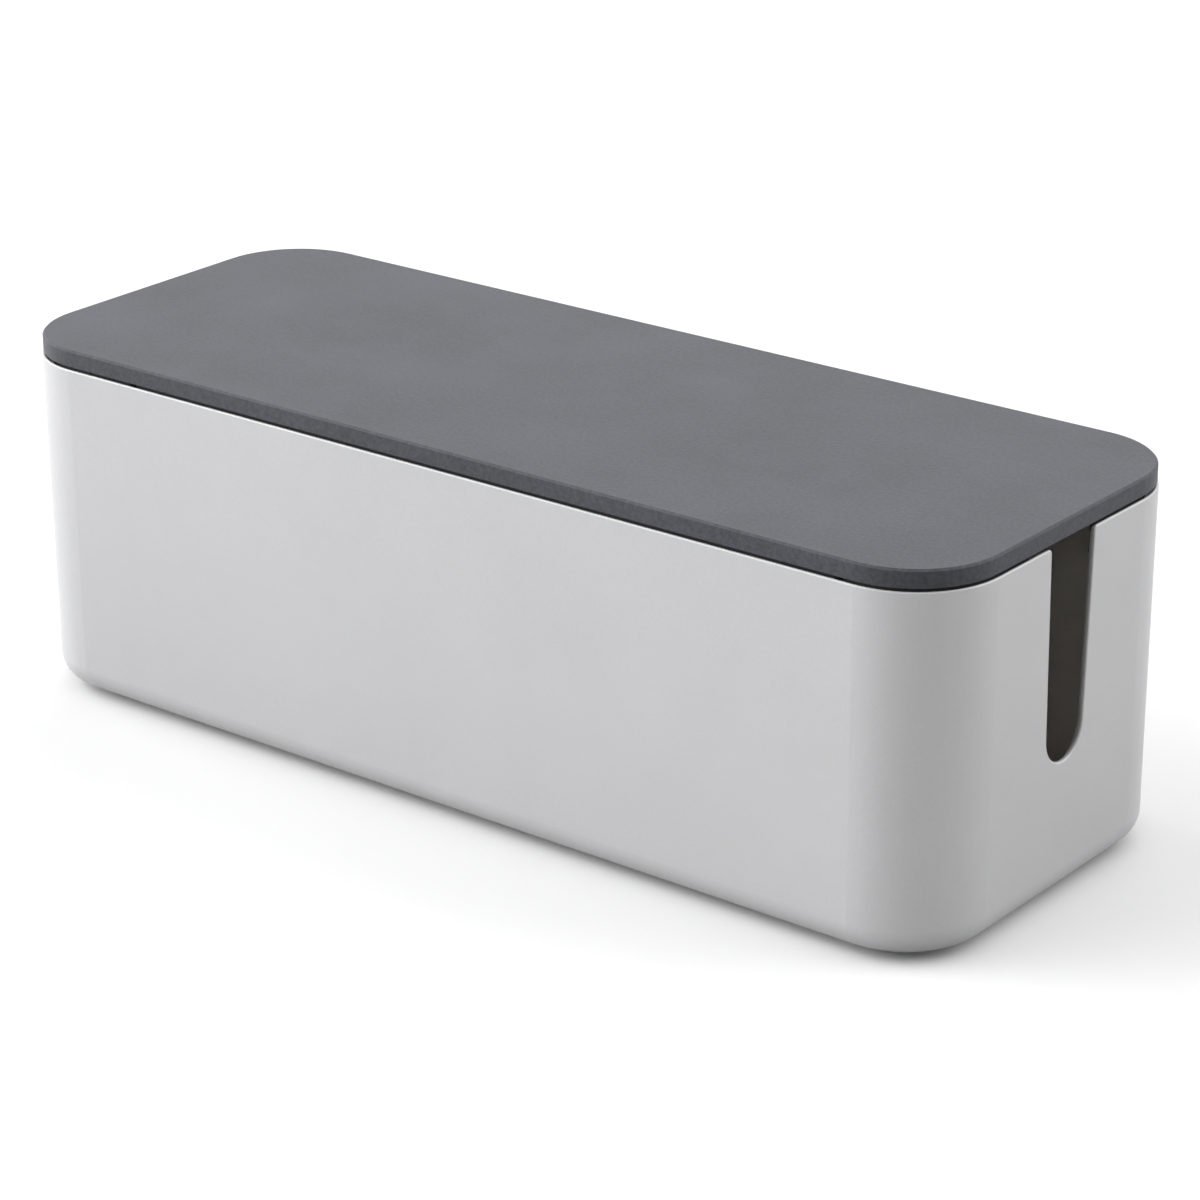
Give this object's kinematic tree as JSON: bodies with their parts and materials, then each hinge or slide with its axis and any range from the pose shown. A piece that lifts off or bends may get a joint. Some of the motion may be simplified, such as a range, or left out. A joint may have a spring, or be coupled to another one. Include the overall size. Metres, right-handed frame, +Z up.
{
  "type": "cable management box",
  "caption": "Long rounded box with a lift-off lid and an open-topped cable slot in each end, for hiding a power strip and its leads.",
  "frame": {"origin": "on the surface that the feet stand on, under the middle of the box", "axes": "+X along the box towards its right end, -Y towards the long front, +Z up, the way the lid lifts off"},
  "size_m": [0.4, 0.15, 0.1338],
  "materials": {
    "shell_paint": "satin silver paint on a moulded shell",
    "liner_plastic": "fine matt texture, light warm grey",
    "foot_rubber": "matt black",
    "screw_steel": "zinc plating",
    "cover_soft_touch": "charcoal soft-touch coating",
    "frame_plastic": "fine matt texture, near-black",
    "pad_rubber": "matt black"
  },
  "bodies": {
    "box": {"outer_shell": "shell_paint", "inner_liner": "liner_plastic", "foot_front_left": "foot_rubber", "foot_front_right": "foot_rubber", "foot_rear_left": "foot_rubber", "foot_rear_right": "foot_rubber", "liner_screws": "screw_steel"},
    "lid": {"lid_cover": "cover_soft_touch", "lid_frame": "frame_plastic", "rest_pad_front_left": "pad_rubber", "rest_pad_front_right": "pad_rubber", "rest_pad_rear_left": "pad_rubber", "rest_pad_rear_right": "pad_rubber", "lid_screws": "screw_steel"}
  },
  "joints": [
    {"name": "lid_lift", "type": "slide", "parent": "box", "child": "lid", "axis": [0, 0, 1], "range_m": [0, 0.18]}
  ]
}
